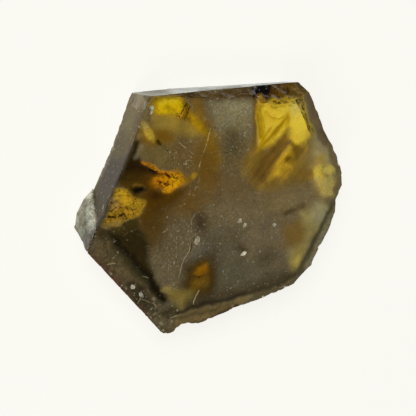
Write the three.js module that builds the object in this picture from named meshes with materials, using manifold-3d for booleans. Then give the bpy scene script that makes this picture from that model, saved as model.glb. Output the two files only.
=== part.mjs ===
// A slice of trapiche quartz: one crystal, sawn across its length into a flat six-sided slab.
// Millimetres, +Z up. The slab lies on its sawn back, Z = 0, and its polished face looks up. The
// origin is under the middle of its bounding box. Two sides are flat prism faces, one is a slanting
// growth face, and the other three are broken.

import * as THREE from "three";
import { ConvexGeometry } from "three/addons/geometries/ConvexGeometry.js";
import { mergeVertices } from "three/addons/utils/BufferGeometryUtils.js";
import Module from "manifold-3d";

const wasm = await Module();
wasm.setup();

// Driving dimensions

const THICKNESS = 4.7;
const GROWTH_FACE_TILT = 38.2; // degrees off the prism faces, as a quartz termination face stands
const RIM_STEP = 0.7; // distance between points along the rim
const WALL_LEVELS = 9; // rows of wall between the back and the polished face
const BREAK_GRAIN = 2.2; // size of the lumps on a broken wall

// The rim of the polished face, counter-clockwise seen from above, side by side. A point is
// [x, y, inset], where inset is how far the back edge stands inside the edge of the polished face.
// rough is the depth of the relief on that side's wall.
const SIDES = {
  left_prism_face: {
    rough: 0,
    points: [[-9.47, 12.34, -0.1], [-9.97, 11.25, 0], [-11.6, 6.64, 0], [-13.92, 1.34, 0]],
  },
  lower_left_growth_face: {
    rough: 0,
    points: [[-16.32, -4.4, 0], [-11.6, -9.34, 0]],
  },
  lower_right_break: {
    rough: 0.24,
    points: [
      [-6.98, -14.17, 0.2], [-6.3, -14.3, 0.4], [-5.65, -14.03, 0.9], [-4.7, -13.36, 1.1],
      [-2.55, -13.25, 1.1], [0.6, -12.44, 0.85], [4.35, -11.27, 0.5], [7.84, -10.27, 0.2],
      [10.05, -9.5, 0], [11.45, -8.22, -0.3],
    ],
  },
  lower_right_corner: {
    rough: 0.18,
    points: [[12.47, -7.51, -0.4], [12.6, -6.82, -0.4]],
  },
  right_lower_break: {
    rough: 0.28,
    points: [[14.55, -3.45, -0.6], [15.36, -1.18, -0.5], [15.4, 0.44, -0.2]],
  },
  right_upper_break: {
    rough: 0.28,
    points: [
      [16.18, 2.02, 0.2], [16.03, 3.41, 0.4], [15.07, 5.48, 0.5], [12.61, 10.01, 0.55],
      [10.97, 13, 0.6],
    ],
  },
  top_prism_face: {
    rough: 0,
    points: [[10.11, 14.11, 0.2], [3.69, 13.52, 0.05], [-4.67, 12.74, -0.2]],
  },
};

// The slope between the polished face and the top prism face. Its inner edge runs through these
// points, and it falls by drop for each millimetre out from that edge.
const BEVEL_EDGE = [
  [-8.6, 12.6], [-6.3, 12.3], [-4.1, 12.15], [-0.6, 12.25], [3.75, 12.45], [4.45, 11.6],
  [7.1, 11.95], [9.35, 12.2], [10.6, 12.85],
];
const BEVEL_DROP = 0.85;
const BEVEL_ROUGH = 0.22;
const BEVEL_GRAIN = 0.9;
const BEVEL_AREA = { left: -9.4, right: 12, low: 11, high: 15.2 };
const BEVEL_CELLS = [56, 14]; // along and across

// The broken lump on the left prism face, a leftover of the crystal's foot: the corners of its
// facets. It climbs from the back to the lower left corner of the polished face.
const LUMP_CORNERS = [
  // Along the back, outside and inside the prism face
  [-13.92, 1.79, 0], [-14.94, 0.66, 0], [-15.72, -0.8, 0], [-15.9, -2.2, 0],
  [-13.2, 1.6, 0], [-14.4, -1.5, 0],
  // Its outer edge
  [-14.85, 0.72, 0.9], [-15.98, -0.72, 0.9], [-16.31, -2.22, 0.8],
  // Where it meets the prism face, and the corner of the polished face
  [-14.69, -0.06, 1.6], [-15.03, -1.01, 3.2], [-15.38, -1.84, 4.6], [-16.37, -4.3, 4.66],
  // A swelling in its largest facet
  [-16.12, -2.35, 2.3], [-15.65, -1.25, 2],
  // Inside the slab
  [-14.8, -3, 2.5],
];

// Chips off the edges: [x, y, z, radius]. Each takes a hollow bite out of the rim.
const CHIP_ROUGH = 0.22;
const CHIPS = [
  [10.85, 14.1, 4.5, 0.75],
  [11.35, 12.9, 5.0, 0.55],
  [13.75, 8.55, 5.0, 0.5],
  [15.75, 4.75, 5.05, 0.6],
  [16.15, 1.05, 4.9, 0.5],
  [15.2, -2.5, 5.05, 0.5],
  [13.75, -5.4, 5.0, 0.55],
  [9.1, -10.1, 5.05, 0.6],
  [5.9, -11.05, 5.1, 0.5],
  [2.2, -12.2, 5.1, 0.6],
  [-1.2, -13.2, 5.0, 0.5],
  [-5.1, -14.1, 4.7, 0.55],
  [-13.35, -7.75, 4.95, 0.32],
  [-9.1, -12.25, 4.95, 0.36],
  [-10.75, 9.1, 4.95, 0.32],
  [-9.55, 12.75, 4.8, 0.45],
  [16.1, 2.9, 0.6, 0.8],
  [13.9, -4.95, 1.3, 0.9],
  [6.6, -10.9, 1.2, 0.9],
];

// Pits in the polished face: [x, y, half length, half width, turn in degrees, depth].
const PITS = [
  [2.3, -1.7, 0.27, 0.2, 30, 0.14],
  [3, -2.25, 0.28, 0.2, 50, 0.16],
  [-3.1, -3.75, 0.46, 0.26, 75, 0.12],
  [3, -5.6, 0.36, 0.18, 20, 0.18],
  [7, -2.4, 0.22, 0.18, 0, 0.12],
  [-10.9, -8.5, 0.26, 0.2, -30, 0.14],
  [-9.9, -9.4, 0.2, 0.18, 0, 0.12],
  [-9.3, 10.85, 0.42, 0.2, 80, 0.14],
];

const CRYSTAL_LOOK = { color: 0x6b5836, roughness: 0.28, metalness: 0 };

// Helpers

const BLOCK_SIZE = 60; // of a block that cuts, wider than the slab
const MERGE_WITHIN = 1e-4;
const ROUND_DETAIL = 2; // how finely chips and pits are rounded

const degrees = THREE.MathUtils.degToRad;
const lerp = THREE.MathUtils.lerp;

// A number from -1 to 1 for a corner of the noise lattice.
function latticeValue(i, j, k) {
  let h = Math.imul(i, 374761393) + Math.imul(j, 668265263) + Math.imul(k, 2147483647);
  h = Math.imul(h ^ (h >>> 13), 1274126177);
  h ^= h >>> 16;
  return (h & 0xffff) / 0x7fff - 1;
}

// Smooth lumps from -1 to 1, of size 1.
function lumps(x, y, z) {
  const [i, j, k] = [Math.floor(x), Math.floor(y), Math.floor(z)];
  const [u, v, w] = [x - i, y - j, z - k].map((t) => t * t * (3 - 2 * t));
  const along = (dj, dk) =>
    lerp(latticeValue(i, j + dj, k + dk), latticeValue(i + 1, j + dj, k + dk), u);
  return lerp(lerp(along(0, 0), along(1, 0), v), lerp(along(0, 1), along(1, 1), v), w);
}

// The relief of a broken surface, about -1 to 1: lumps of size grain, smaller ones on them, and
// ledges between. The lumps are lower than they are wide.
const RELIEF_PARTS = { coarse: 0.45, ledge: 0.35, fine: 0.3 };
const RELIEF_LEDGES = 2.5; // ledges to the height of a lump
const RELIEF_FINER = 2; // how many times smaller the small lumps are
const RELIEF_FLATTER = 1.6;

function brokenRelief(x, y, z, grain) {
  const size = [x / grain, y / grain, (RELIEF_FLATTER * z) / grain];
  const coarse = lumps(...size);
  const fine = lumps(...size.map((t) => t * RELIEF_FINER));
  const ledge = Math.round(RELIEF_LEDGES * coarse) / RELIEF_LEDGES;
  const { coarse: ofCoarse, ledge: ofLedge, fine: ofFine } = RELIEF_PARTS;
  return ofCoarse * coarse + ofLedge * ledge + ofFine * fine;
}

// A closed geometry as a manifold solid, and back.
function toSolid(geometry) {
  const bare = geometry.clone();
  bare.deleteAttribute("normal");
  bare.deleteAttribute("uv");
  const merged = mergeVertices(bare, MERGE_WITHIN);
  return new wasm.Manifold(
    new wasm.Mesh({
      numProp: 3,
      vertProperties: new Float32Array(merged.attributes.position.array),
      triVerts: new Uint32Array(merged.index.array),
    }),
  );
}

function toGeometry(solid) {
  const mesh = solid.getMesh();
  const geometry = new THREE.BufferGeometry();
  geometry.setAttribute("position", new THREE.BufferAttribute(mesh.vertProperties, 3));
  geometry.setIndex(new THREE.BufferAttribute(mesh.triVerts, 1));
  geometry.computeVertexNormals();
  return geometry;
}

// Moves every vertex of a geometry: change takes a Vector3 and alters it.
function reshape(geometry, change) {
  const position = geometry.attributes.position;
  const point = new THREE.Vector3();
  for (let i = 0; i < position.count; i++) {
    change(point.fromBufferAttribute(position, i));
    position.setXYZ(i, point.x, point.y, point.z);
  }
  return geometry;
}

// The slab

// Every rim point in order, RIM_STEP apart: where it is, its inset, its roughness.
function rimPoints() {
  const corners = Object.values(SIDES).flatMap(({ rough, points }) =>
    points.map(([x, y, inset]) => ({ at: new THREE.Vector2(x, y), inset, rough })),
  );
  return corners.flatMap((from, n) => {
    const to = corners[(n + 1) % corners.length];
    const count = Math.max(1, Math.round(from.at.distanceTo(to.at) / RIM_STEP));
    return Array.from({ length: count }, (_, i) => ({
      at: from.at.clone().lerp(to.at, i / count),
      inset: lerp(from.inset, to.inset, i / count),
      rough: from.rough,
    }));
  });
}

// The outline of the slab at height z. It moves in by each point's inset towards the back, and
// broken walls get their relief.
function outlineAt(rim, z) {
  const depth = 1 - z / THICKNESS;
  return rim.map(({ at, inset, rough }, n) => {
    const before = rim[(n + rim.length - 1) % rim.length].at;
    const after = rim[(n + 1) % rim.length].at;
    const inward = after.clone().sub(before).normalize();
    inward.set(-inward.y, inward.x);
    const relief = rough * brokenRelief(at.x, at.y, z, BREAK_GRAIN);
    return at.clone().addScaledVector(inward, inset * depth + relief);
  });
}

// A closed body through outlines of equal length, each at its own height, with flat ends.
function loft(outlines, heights) {
  const count = outlines[0].length;
  const positions = outlines.flatMap((outline, level) =>
    outline.flatMap(({ x, y }) => [x, y, heights[level]]),
  );
  const faces = [];
  for (let level = 0; level < outlines.length - 1; level++) {
    for (let n = 0; n < count; n++) {
      const low = level * count + n;
      const lowNext = level * count + ((n + 1) % count);
      faces.push(low, lowNext, lowNext + count, low, lowNext + count, low + count);
    }
  }
  const top = (outlines.length - 1) * count;
  for (const [a, b, c] of THREE.ShapeUtils.triangulateShape(outlines[0], [])) {
    faces.push(c, b, a);
  }
  for (const [a, b, c] of THREE.ShapeUtils.triangulateShape(outlines.at(-1), [])) {
    faces.push(top + a, top + b, top + c);
  }
  const geometry = new THREE.BufferGeometry();
  geometry.setAttribute("position", new THREE.Float32BufferAttribute(positions, 3));
  geometry.setIndex(faces);
  return geometry;
}

function slab() {
  const rim = rimPoints();
  const heights = Array.from(
    { length: WALL_LEVELS + 1 },
    (_, level) => (THICKNESS * level) / WALL_LEVELS,
  );
  return loft(heights.map((z) => outlineAt(rim, z)), heights);
}

// What is cut from the slab and what is grown onto it

// The space outside the slanting growth face: a block whose face passes through the lower left edge.
function outsideGrowthFace() {
  const [from] = SIDES.lower_left_growth_face.points;
  const [to] = SIDES.lower_right_break.points;
  const block = new THREE.BoxGeometry(BLOCK_SIZE, BLOCK_SIZE, BLOCK_SIZE);
  block.translate(0, -BLOCK_SIZE / 2, 0);
  block.rotateX(degrees(GROWTH_FACE_TILT));
  block.rotateZ(Math.atan2(to[1] - from[1], to[0] - from[0]));
  return block.translate((from[0] + to[0]) / 2, (from[1] + to[1]) / 2, THICKNESS);
}

// The y of the bevel's inner edge at x.
function bevelEdgeAt(x) {
  const next = BEVEL_EDGE.findIndex(([edgeX]) => edgeX > x);
  if (next < 1) {
    return next === 0 ? BEVEL_EDGE[0][1] : BEVEL_EDGE.at(-1)[1];
  }
  const [from, to] = [BEVEL_EDGE[next - 1], BEVEL_EDGE[next]];
  return lerp(from[1], to[1], (x - from[0]) / (to[0] - from[0]));
}

// The space above the bevel: a block whose underside is the rough slope.
function aboveBevel() {
  const { left, right, low, high } = BEVEL_AREA;
  const block = new THREE.BoxGeometry(right - left, high - low, THICKNESS, ...BEVEL_CELLS);
  block.translate((left + right) / 2, (low + high) / 2, 1.5 * THICKNESS);
  return reshape(block, (p) => {
    if (p.z > 1.5 * THICKNESS) return;
    const out = p.y - bevelEdgeAt(p.x);
    const relief = BEVEL_ROUGH * brokenRelief(p.x, p.y, 0, BEVEL_GRAIN);
    p.z = THICKNESS - BEVEL_DROP * out + relief * THREE.MathUtils.clamp(out, 0, 1);
  });
}

function lump() {
  return new ConvexGeometry(LUMP_CORNERS.map((corner) => new THREE.Vector3(...corner)));
}

function belowBack() {
  const block = new THREE.BoxGeometry(BLOCK_SIZE, BLOCK_SIZE, THICKNESS);
  return block.translate(0, 0, -THICKNESS / 2);
}

// A rough ball. n, the chip's place in the list, makes each one different.
function chip([x, y, z, radius], n) {
  const bite = reshape(new THREE.IcosahedronGeometry(radius, ROUND_DETAIL), (p) => {
    p.multiplyScalar(1 + CHIP_ROUGH * lumps(2 * p.x + 5 * n, 2 * p.y, 2 * p.z));
  });
  return bite.translate(x, y, z);
}

function pit([x, y, halfLength, halfWidth, turn, depth]) {
  const hollow = new THREE.IcosahedronGeometry(1, ROUND_DETAIL);
  return hollow.scale(halfLength, halfWidth, depth).rotateZ(degrees(turn)).translate(x, y, THICKNESS);
}

// The crystal, moved so that the origin is under the middle of its box.
function crystalSlice() {
  const cuts = [belowBack(), aboveBevel(), ...CHIPS.map(chip), ...PITS.map(pit)];
  const whole = toSolid(slab()).subtract(toSolid(outsideGrowthFace())).add(toSolid(lump()));
  const cut = cuts.reduce((solid, cutter) => solid.subtract(toSolid(cutter)), whole);
  const geometry = toGeometry(cut);
  geometry.computeBoundingBox();
  const middle = geometry.boundingBox.getCenter(new THREE.Vector3());
  return geometry.translate(-middle.x, -middle.y, 0);
}

const crystal = new THREE.Mesh(
  crystalSlice(),
  new THREE.MeshStandardMaterial({ ...CRYSTAL_LOOK, flatShading: true }),
);
crystal.name = "crystal_slice";

const trapicheQuartz = new THREE.Group();
trapicheQuartz.add(crystal);

export default trapicheQuartz;
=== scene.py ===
"""A slice of trapiche quartz: smoky yellow windows between grey milky arms, lying on a pale floor."""

import math

import bpy
import numpy as np
from mathutils import Matrix, Vector


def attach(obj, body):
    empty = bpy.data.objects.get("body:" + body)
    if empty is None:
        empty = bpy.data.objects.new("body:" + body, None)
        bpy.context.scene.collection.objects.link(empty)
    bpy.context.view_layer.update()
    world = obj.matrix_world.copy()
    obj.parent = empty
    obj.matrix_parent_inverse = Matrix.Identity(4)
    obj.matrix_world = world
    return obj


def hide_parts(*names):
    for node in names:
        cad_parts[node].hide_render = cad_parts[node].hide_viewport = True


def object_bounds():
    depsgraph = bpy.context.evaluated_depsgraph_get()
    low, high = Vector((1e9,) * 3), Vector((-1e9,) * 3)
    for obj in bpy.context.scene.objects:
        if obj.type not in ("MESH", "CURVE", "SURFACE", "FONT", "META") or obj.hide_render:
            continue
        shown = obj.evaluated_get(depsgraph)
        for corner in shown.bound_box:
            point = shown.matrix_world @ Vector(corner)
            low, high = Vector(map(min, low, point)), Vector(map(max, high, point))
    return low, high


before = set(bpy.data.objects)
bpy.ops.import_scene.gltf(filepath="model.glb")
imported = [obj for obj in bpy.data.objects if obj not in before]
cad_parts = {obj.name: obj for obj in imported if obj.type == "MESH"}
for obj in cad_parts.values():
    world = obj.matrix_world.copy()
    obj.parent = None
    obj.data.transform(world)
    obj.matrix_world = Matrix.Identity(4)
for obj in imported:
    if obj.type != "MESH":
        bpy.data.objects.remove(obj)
cad_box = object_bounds()

MM = 0.001
THICKNESS = 4.7  # mm between the back and the polished face
FACE_TOLERANCE = 0.012  # mm that a point of the polished face may lie below its plane

# The lower left corner of the polished face, in the millimetres that all places below are drawn in.
# The frame's own corner is found in the solid, so that the drawing follows the solid.
DRAWN_CORNER = np.array([-16.32, -4.40])


def read_numbers(items, name):
    """One whole number of every item of a mesh."""
    values = np.empty(len(items), dtype=np.int64)
    items.foreach_get(name, values)
    return values


def read_vectors(items, name):
    """One vector of every item of a mesh, as the rows of an array."""
    values = np.empty(len(items) * 3)
    items.foreach_get(name, values)
    return values.reshape(-1, 3)


def drawing_shift(node):
    """How far the drawing is moved to lie on the solid, in mm."""
    points = read_vectors(node.data.vertices, "co") / MM
    face = points[points[:, 2] > THICKNESS - FACE_TOLERANCE]
    corner = face[np.argmin(face[:, 0]), :2]
    return corner - DRAWN_CORNER


crystal_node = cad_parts["crystal_slice"]
SHIFT = drawing_shift(crystal_node)


# Camera

CAMERA_TILT = math.radians(30)  # off the normal of the polished face
CAMERA_TURN = math.radians(-17)  # which way it leans, from +X
CAMERA_TARGET = (-1.88, -0.09, THICKNESS)  # mm, in the drawing
CAMERA_DISTANCE = 0.12942  # metres
CAMERA_NEAREST = 0.01  # metres
CAMERA_LENS = 100
CAMERA_SENSOR = 36
UP = Vector((0, 0, 1))


def make_camera():
    """The photograph's view: from the upper left, rolled so that +Y stays up in the picture."""
    lean = Vector((math.cos(CAMERA_TURN), math.sin(CAMERA_TURN), 0))
    tilt = Matrix.Rotation(CAMERA_TILT, 3, UP.cross(-lean))
    target = Vector(np.add(CAMERA_TARGET, (*SHIFT, 0))) * MM
    data = bpy.data.cameras.new("camera")
    data.lens = CAMERA_LENS
    data.sensor_width = CAMERA_SENSOR
    data.clip_start = CAMERA_NEAREST
    camera = bpy.data.objects.new("camera", data)
    back = tilt @ UP
    camera.matrix_world = Matrix.Translation(target + back * CAMERA_DISTANCE) @ tilt.to_4x4()
    bpy.context.scene.collection.objects.link(camera)
    bpy.context.scene.camera = camera


# Floor and light, in metres

FLOOR_SIZE = 2.0
FLOOR_GAP = 0.03 * MM  # between the floor and the back of the slice
FLOOR_COLOUR = (0.3, 0.297, 0.279, 1)
FLOOR_GLOW_COLOUR = (1, 0.992, 0.937, 1)
FLOOR_GLOW = 0.826
LAMPS = {  # place, and power in watts
    "key": ((-0.7, 0.6, 1.1), 7.6),
    "fill": ((-0.7, -0.9, 0.9), 4.2),
}
LAMP_SIZE = 0.7
WORLD_STRENGTH = 0.05


def make_floor():
    """A pale matt floor that glows a little, as a lit studio sheet does."""
    bpy.ops.mesh.primitive_plane_add(size=FLOOR_SIZE, location=(0, 0, -FLOOR_GAP))
    floor = bpy.context.object
    floor.name = "floor"
    material = bpy.data.materials.new("floor")
    material.use_nodes = True
    shader = material.node_tree.nodes["Principled BSDF"]
    shader.inputs["Base Color"].default_value = FLOOR_COLOUR
    shader.inputs["Roughness"].default_value = 1
    shader.inputs["Specular IOR Level"].default_value = 0
    shader.inputs["Emission Color"].default_value = FLOOR_GLOW_COLOUR
    shader.inputs["Emission Strength"].default_value = FLOOR_GLOW
    floor.data.materials.append(material)


def make_lamp(name, place, power):
    """A soft square lamp at place, facing the slice."""
    data = bpy.data.lights.new(name, "AREA")
    data.shape = "SQUARE"
    data.size = LAMP_SIZE
    data.energy = power
    lamp = bpy.data.objects.new(name, data)
    lamp.location = place
    lamp.rotation_euler = (-Vector(place)).to_track_quat("-Z", "Y").to_euler()
    bpy.context.scene.collection.objects.link(lamp)


def make_light():
    """Soft lamps from the left, and a dim room that leaves the polished face dark."""
    for name, (place, power) in LAMPS.items():
        make_lamp(name, place, power)
    world = bpy.data.worlds.new("studio")
    world.use_nodes = True
    background = world.node_tree.nodes["Background"]
    background.inputs["Color"].default_value = (1, 1, 1, 1)
    background.inputs["Strength"].default_value = WORLD_STRENGTH
    bpy.context.scene.world = world
    bpy.context.scene.view_settings.view_transform = "Standard"


# Noise. The large odd factors scatter the numbers of cells that are neighbours.

CELL_FACTORS = np.array([374761393, 668265263, 2147483647])
SEED_FACTOR = 974634777
SCATTER_FACTOR = 1274126177
FRACTAL_REACH = 1.5  # how far lumps of all sizes reach together


def lattice(cells, seed):
    """A steady number from -1 to 1 for each whole cell."""
    number = cells @ CELL_FACTORS + seed * SEED_FACTOR
    number = (number ^ (number >> 13)) * SCATTER_FACTOR & 0xFFFFFFFF
    number ^= number >> 16
    return (number & 0xFFFF) / 0x7FFF - 1


def lumps(points, grain, seed):
    """Smooth lumps from -1 to 1, of size grain."""
    scaled = points / grain
    cell = np.floor(scaled).astype(np.int64)
    part = smooth_step(scaled - cell, 0, 1)
    total = np.zeros(len(points))
    for corner in np.ndindex(2, 2, 2):
        weight = np.prod(np.where(np.array(corner) == 1, part, 1 - part), axis=1)
        total += weight * lattice(cell + corner, seed)
    return total


def fractal(points, grain, octaves, seed):
    """Lumps with smaller lumps on them: each octave is half as large as the one before."""
    layers = [lumps(points, grain / 2**n, seed + n) / 2**n for n in range(octaves)]
    return sum(layers) / FRACTAL_REACH


def smooth_step(value, low, high):
    """0 below low, 1 above high, and a smooth rise between them."""
    t = np.clip((value - low) / (high - low), 0, 1)
    return t * t * (3 - 2 * t)


# The fine mesh

REMESH_DEPTH = 8
REMESH_SCALE = 0.84


def fine_mesh():
    """The solid's own surface as an even fine mesh, in millimetres."""
    mesh = crystal_node.data.copy()
    points = read_vectors(mesh.vertices, "co") / MM
    mesh.vertices.foreach_set("co", points.ravel())
    coarse = bpy.data.objects.new("coarse", mesh)
    bpy.context.scene.collection.objects.link(coarse)
    remesh = coarse.modifiers.new("remesh", "REMESH")
    remesh.mode = "SHARP"
    remesh.octree_depth = REMESH_DEPTH
    remesh.scale = REMESH_SCALE
    graph = bpy.context.evaluated_depsgraph_get()
    fine = bpy.data.meshes.new_from_object(coarse.evaluated_get(graph))
    bpy.data.objects.remove(coarse)
    return fine


# The sides of the slice. An outward direction is a unit vector, and reach is how far a face's plane
# stands from the drawing's origin. A face's upward part is the height of its unit normal.

LEFT_OUT = np.array([-0.925, 0.379, 0])
LEFT_REACH = 13.41
LEFT_SLACK = 0.06  # a face of the left side may stand this far off its plane
TOP_OUT = np.array([-0.090, 0.996, 0])
GROWTH_OUT = np.array([-0.568, -0.543, -0.618])
SAME_PLANE = 0.95  # least cosine between a face and the side that it belongs to
LUMP_HIGHEST_Y = 3
BEVEL_LOWEST_Y = 11.3
BEVEL_UPWARD = 0.1
PIT_UPWARD = 0.2
PIT_DEPTH = 0.25
NO_SHARE = 0.01  # a vertex with less of its faces on a side is off it
WHOLE_SHARE = 0.99  # a vertex with more of its faces on a side is wholly on it

SIDE_NAMES = ("front", "pit", "back", "left", "top", "growth", "lump", "bevel", "broken")


class Surface:
    """The fine mesh as arrays: its vertices, its face corners, and the side that each face is on."""

    def __init__(self, mesh):
        self.points = read_vectors(mesh.vertices, "co")
        self.drawn = self.points - (*SHIFT, 0)
        self.face_normals = read_vectors(mesh.polygons, "normal")
        sizes = read_numbers(mesh.polygons, "loop_total")
        self.corner_face = np.repeat(np.arange(len(sizes)), sizes)
        self.corner_vertex = read_numbers(mesh.loops, "vertex_index")
        self.face_centres = self.face_means(self.drawn)
        self.face_side = self.find_sides()

    def face_means(self, values):
        """The mean over each face's corners of a value of the vertices."""
        count = np.bincount(self.corner_face)[:, None]
        total = np.zeros((len(count), values.shape[1]))
        np.add.at(total, self.corner_face, values[self.corner_vertex])
        return total / count

    def find_sides(self):
        """The number of each face's side in SIDE_NAMES."""
        normal, centre = self.face_normals, self.face_centres
        out = centre @ LEFT_OUT - LEFT_REACH
        rules = {
            "bevel": (normal[:, 2] > BEVEL_UPWARD) & (centre[:, 1] > BEVEL_LOWEST_Y),
            "growth": normal @ GROWTH_OUT > SAME_PLANE,
            "top": normal @ TOP_OUT > SAME_PLANE,
            "lump": (out > -LEFT_SLACK) & (centre[:, 1] < LUMP_HIGHEST_Y),
            "left": (normal @ LEFT_OUT > SAME_PLANE) & (out < LEFT_SLACK),
            "back": normal[:, 2] < -SAME_PLANE,
            "pit": (centre[:, 2] > THICKNESS - PIT_DEPTH) & (normal[:, 2] > PIT_UPWARD)
            & (centre[:, 1] < BEVEL_LOWEST_Y) & (out < -LEFT_SLACK),
            "front": centre[:, 2] > THICKNESS - FACE_TOLERANCE,
        }
        side = np.full(len(centre), SIDE_NAMES.index("broken"))
        for name, rule in rules.items():
            side[rule] = SIDE_NAMES.index(name)
        return side

    def corner_on(self, name):
        """Whether each face corner is on a side."""
        return (self.face_side == SIDE_NAMES.index(name))[self.corner_face]

    def vertex_share(self, name):
        """How much of each vertex's faces is on a side, from 0 to 1."""
        share = np.bincount(self.corner_vertex, self.corner_on(name), len(self.points))
        return share / np.maximum(np.bincount(self.corner_vertex, minlength=len(self.points)), 1)

    def wholly_on(self, name):
        """Whether all faces of each vertex are on a side."""
        return self.vertex_share(name) > WHOLE_SHARE

    def vertex_normals(self):
        """The mean direction of each vertex's faces."""
        total = np.zeros_like(self.points)
        np.add.at(total, self.corner_vertex, self.face_normals[self.corner_face])
        return total / np.maximum(np.linalg.norm(total, axis=1, keepdims=True), 1e-9)


# Relief of the broken and grown surfaces, in mm. grain is the size of the largest lumps, octaves how
# many sizes of lumps there are, and a wave how far the wobble bends rings or lines. The noise of chips,
# patches and mottles counts from its first level on and in full from its second.

WOBBLE = {"grain": 2.5, "octaves": 2, "seed": 5}
BREAK_RELIEF = {"depth": 0.16, "grain": 1.1, "octaves": 4, "seed": 31}
BREAK_RIPPLE = {"spacing": 0.75, "depth": 0.035}
BREAK_WAVE = 1.3
BREAK_SLANT = 0.4  # how far the rings of the broken sides climb for each mm along X
BREAK_AT_RIM = 0.25  # share of the broken sides' relief that is left at a rim
RIM_FADE = 0.25
BEVEL_RELIEF = {"depth": 0.12, "grain": 0.7, "octaves": 3, "seed": 47}
LUMP_RELIEF = {"depth": 0.09, "grain": 0.8, "octaves": 3, "seed": 59}
LUMP_RIPPLE = {"spacing": 0.62, "depth": 0.045}
LUMP_RIPPLE_FOCUS = (-13.4, 1.2, 4.2)
LUMP_WAVE = 0.3
RIM_CHIPS = {"grain": 0.5, "octaves": 3, "seed": 113}
CHIP_LEVELS = (0, 0.8)
CHIP_DEPTH = 0.12
WORN_CORNER = 0.35  # depth of the wear where the left and the top side meet
GROWTH_SPACING = 0.34
GROWTH_DEPTH = 0.012
GROWTH_WAVE = 5  # radians
GROWTH_PATCHES = {"grain": 1.8, "octaves": 2, "seed": 71}
PATCH_LEVELS = (-0.4, 0.6)


def relief(points, depth, **lumpy):
    """Lumps of a depth."""
    return depth * fractal(points, **lumpy)


def ripple(distance, spacing, depth):
    """Rounded ridges with sharp valleys, as a shell-shaped break has."""
    return -depth * np.abs(np.cos(math.pi * distance / spacing))


def relieve(surface):
    """Moves the vertices of the rough sides along their normals."""
    points, drawn = surface.points, surface.drawn
    normal = surface.vertex_normals()
    wobble = fractal(drawn, **WOBBLE)

    from_rim = smooth_step(np.minimum(THICKNESS - drawn[:, 2], drawn[:, 2]), 0, RIM_FADE)
    strength = BREAK_AT_RIM + (1 - BREAK_AT_RIM) * from_rim
    rings = ripple(drawn[:, 2] + BREAK_WAVE * wobble + BREAK_SLANT * drawn[:, 0], **BREAK_RIPPLE)
    move = surface.wholly_on("broken") * strength * (relief(drawn, **BREAK_RELIEF) + rings)
    move += surface.wholly_on("bevel") * relief(drawn, **BEVEL_RELIEF)

    away = np.linalg.norm(drawn - LUMP_RIPPLE_FOCUS, axis=1)
    rings = ripple(away + LUMP_WAVE * wobble, **LUMP_RIPPLE)
    move += surface.wholly_on("lump") * (relief(drawn, **LUMP_RELIEF) + rings)

    chips = CHIP_DEPTH * smooth_step(fractal(drawn, **RIM_CHIPS), *CHIP_LEVELS)
    off_lump = (drawn @ LEFT_OUT < LEFT_REACH - 2 * LEFT_SLACK) | (drawn[:, 1] > LUMP_HIGHEST_Y)
    for name in ("front", "back"):
        share = surface.vertex_share(name)
        move -= ((share > NO_SHARE) & (share < WHOLE_SHARE) & off_lump) * chips
    move -= WORN_CORNER * np.minimum(surface.vertex_share("left"), surface.vertex_share("top"))

    lines = np.sin(2 * math.pi * drawn[:, 2] / GROWTH_SPACING + GROWTH_WAVE * wobble)
    patchy = smooth_step(fractal(drawn, **GROWTH_PATCHES), *PATCH_LEVELS)
    for name in ("left", "top"):
        move += surface.wholly_on(name) * GROWTH_DEPTH * lines * patchy

    points += move[:, None] * normal
    low, high = (np.array(corner) / MM for corner in cad_box)
    np.clip(points, low, high, out=points)


# Zones of the crystal, drawn on the polished face. Places and widths are in mm, and a colour is what
# the eye sees there, from 0 to 255. clear is how see-through a zone is, dust how speckled, crackle how
# cracked and streaks how streaked it is, from 0 up. edge is half the width of its soft border.

ARM_GREY = (88, 79, 57)
ARM_CLEAR = 0.08
ARM_DUST = 0.8
ZONE_LEAN = np.array([-0.32, 0.098])  # how far the zones lean for each mm of depth
OUTSIDE_LEAN = np.array([-0.4255, 0.147])  # the same for what is drawn on the outer sides
BACK_SOFTNESS = 1.2  # how much softer the borders are at the back
WARPS = ((1.6, 0.3), (0.55, 0.12))  # grain and reach of what moves the borders of the zones
WARP_OCTAVES = 3
WARP_SEEDS = (11, 23)


def distance_to_segment(places, start, end):
    """How far each place is from the straight line between two points."""
    side, away = end - start, places - start
    along = np.clip(away @ side / (side @ side), 0, 1)
    return np.linalg.norm(away - along[:, None] * side, axis=1)


def distance_to_outline(places, outline):
    """How far inside a closed outline each place is, in mm; negative outside."""
    outline = np.array(outline)
    nearest = np.full(len(places), np.inf)
    inside = np.zeros(len(places), dtype=bool)
    for start, end in zip(outline, np.roll(outline, -1, axis=0)):
        nearest = np.minimum(nearest, distance_to_segment(places, start, end))
        side = end - start
        crosses = (start[1] > places[:, 1]) != (end[1] > places[:, 1])
        if side[1]:
            inside ^= crosses & (places[:, 0] < start[0] + side[0] * (places[:, 1] - start[1]) / side[1])
    return np.where(inside, nearest, -nearest)


def distance_to_line(places, line):
    """How far each place is from a line through points; negative to the right of its way."""
    line = np.array(line)
    signed = np.full(len(places), np.inf)
    for start, end in zip(line[:-1], line[1:]):
        distance = distance_to_segment(places, start, end)
        side, away = end - start, places - start
        sign = np.where(side[0] * away[:, 1] > side[1] * away[:, 0], 1, -1)
        signed = np.where(distance < np.abs(signed), sign * distance, signed)
    return signed


def patch(outline, colour, edge=0.5, **more):
    """A zone with an outline."""
    return {"inside": lambda at: distance_to_outline(at, outline), "colour": colour, "edge": edge, **more}


def spot(centre, radii, turn, colour, edge=0.5, **more):
    """A round or oval zone: turn is its long axis's angle in degrees."""
    angle = math.radians(turn)
    axes = np.array([[math.cos(angle), math.sin(angle)], [-math.sin(angle), math.cos(angle)]])

    def inside(at):
        reached = np.linalg.norm((at - centre) @ axes.T / radii, axis=1)
        return (1 - reached) * min(radii)

    return {"inside": inside, "colour": colour, "edge": edge, **more}


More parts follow.
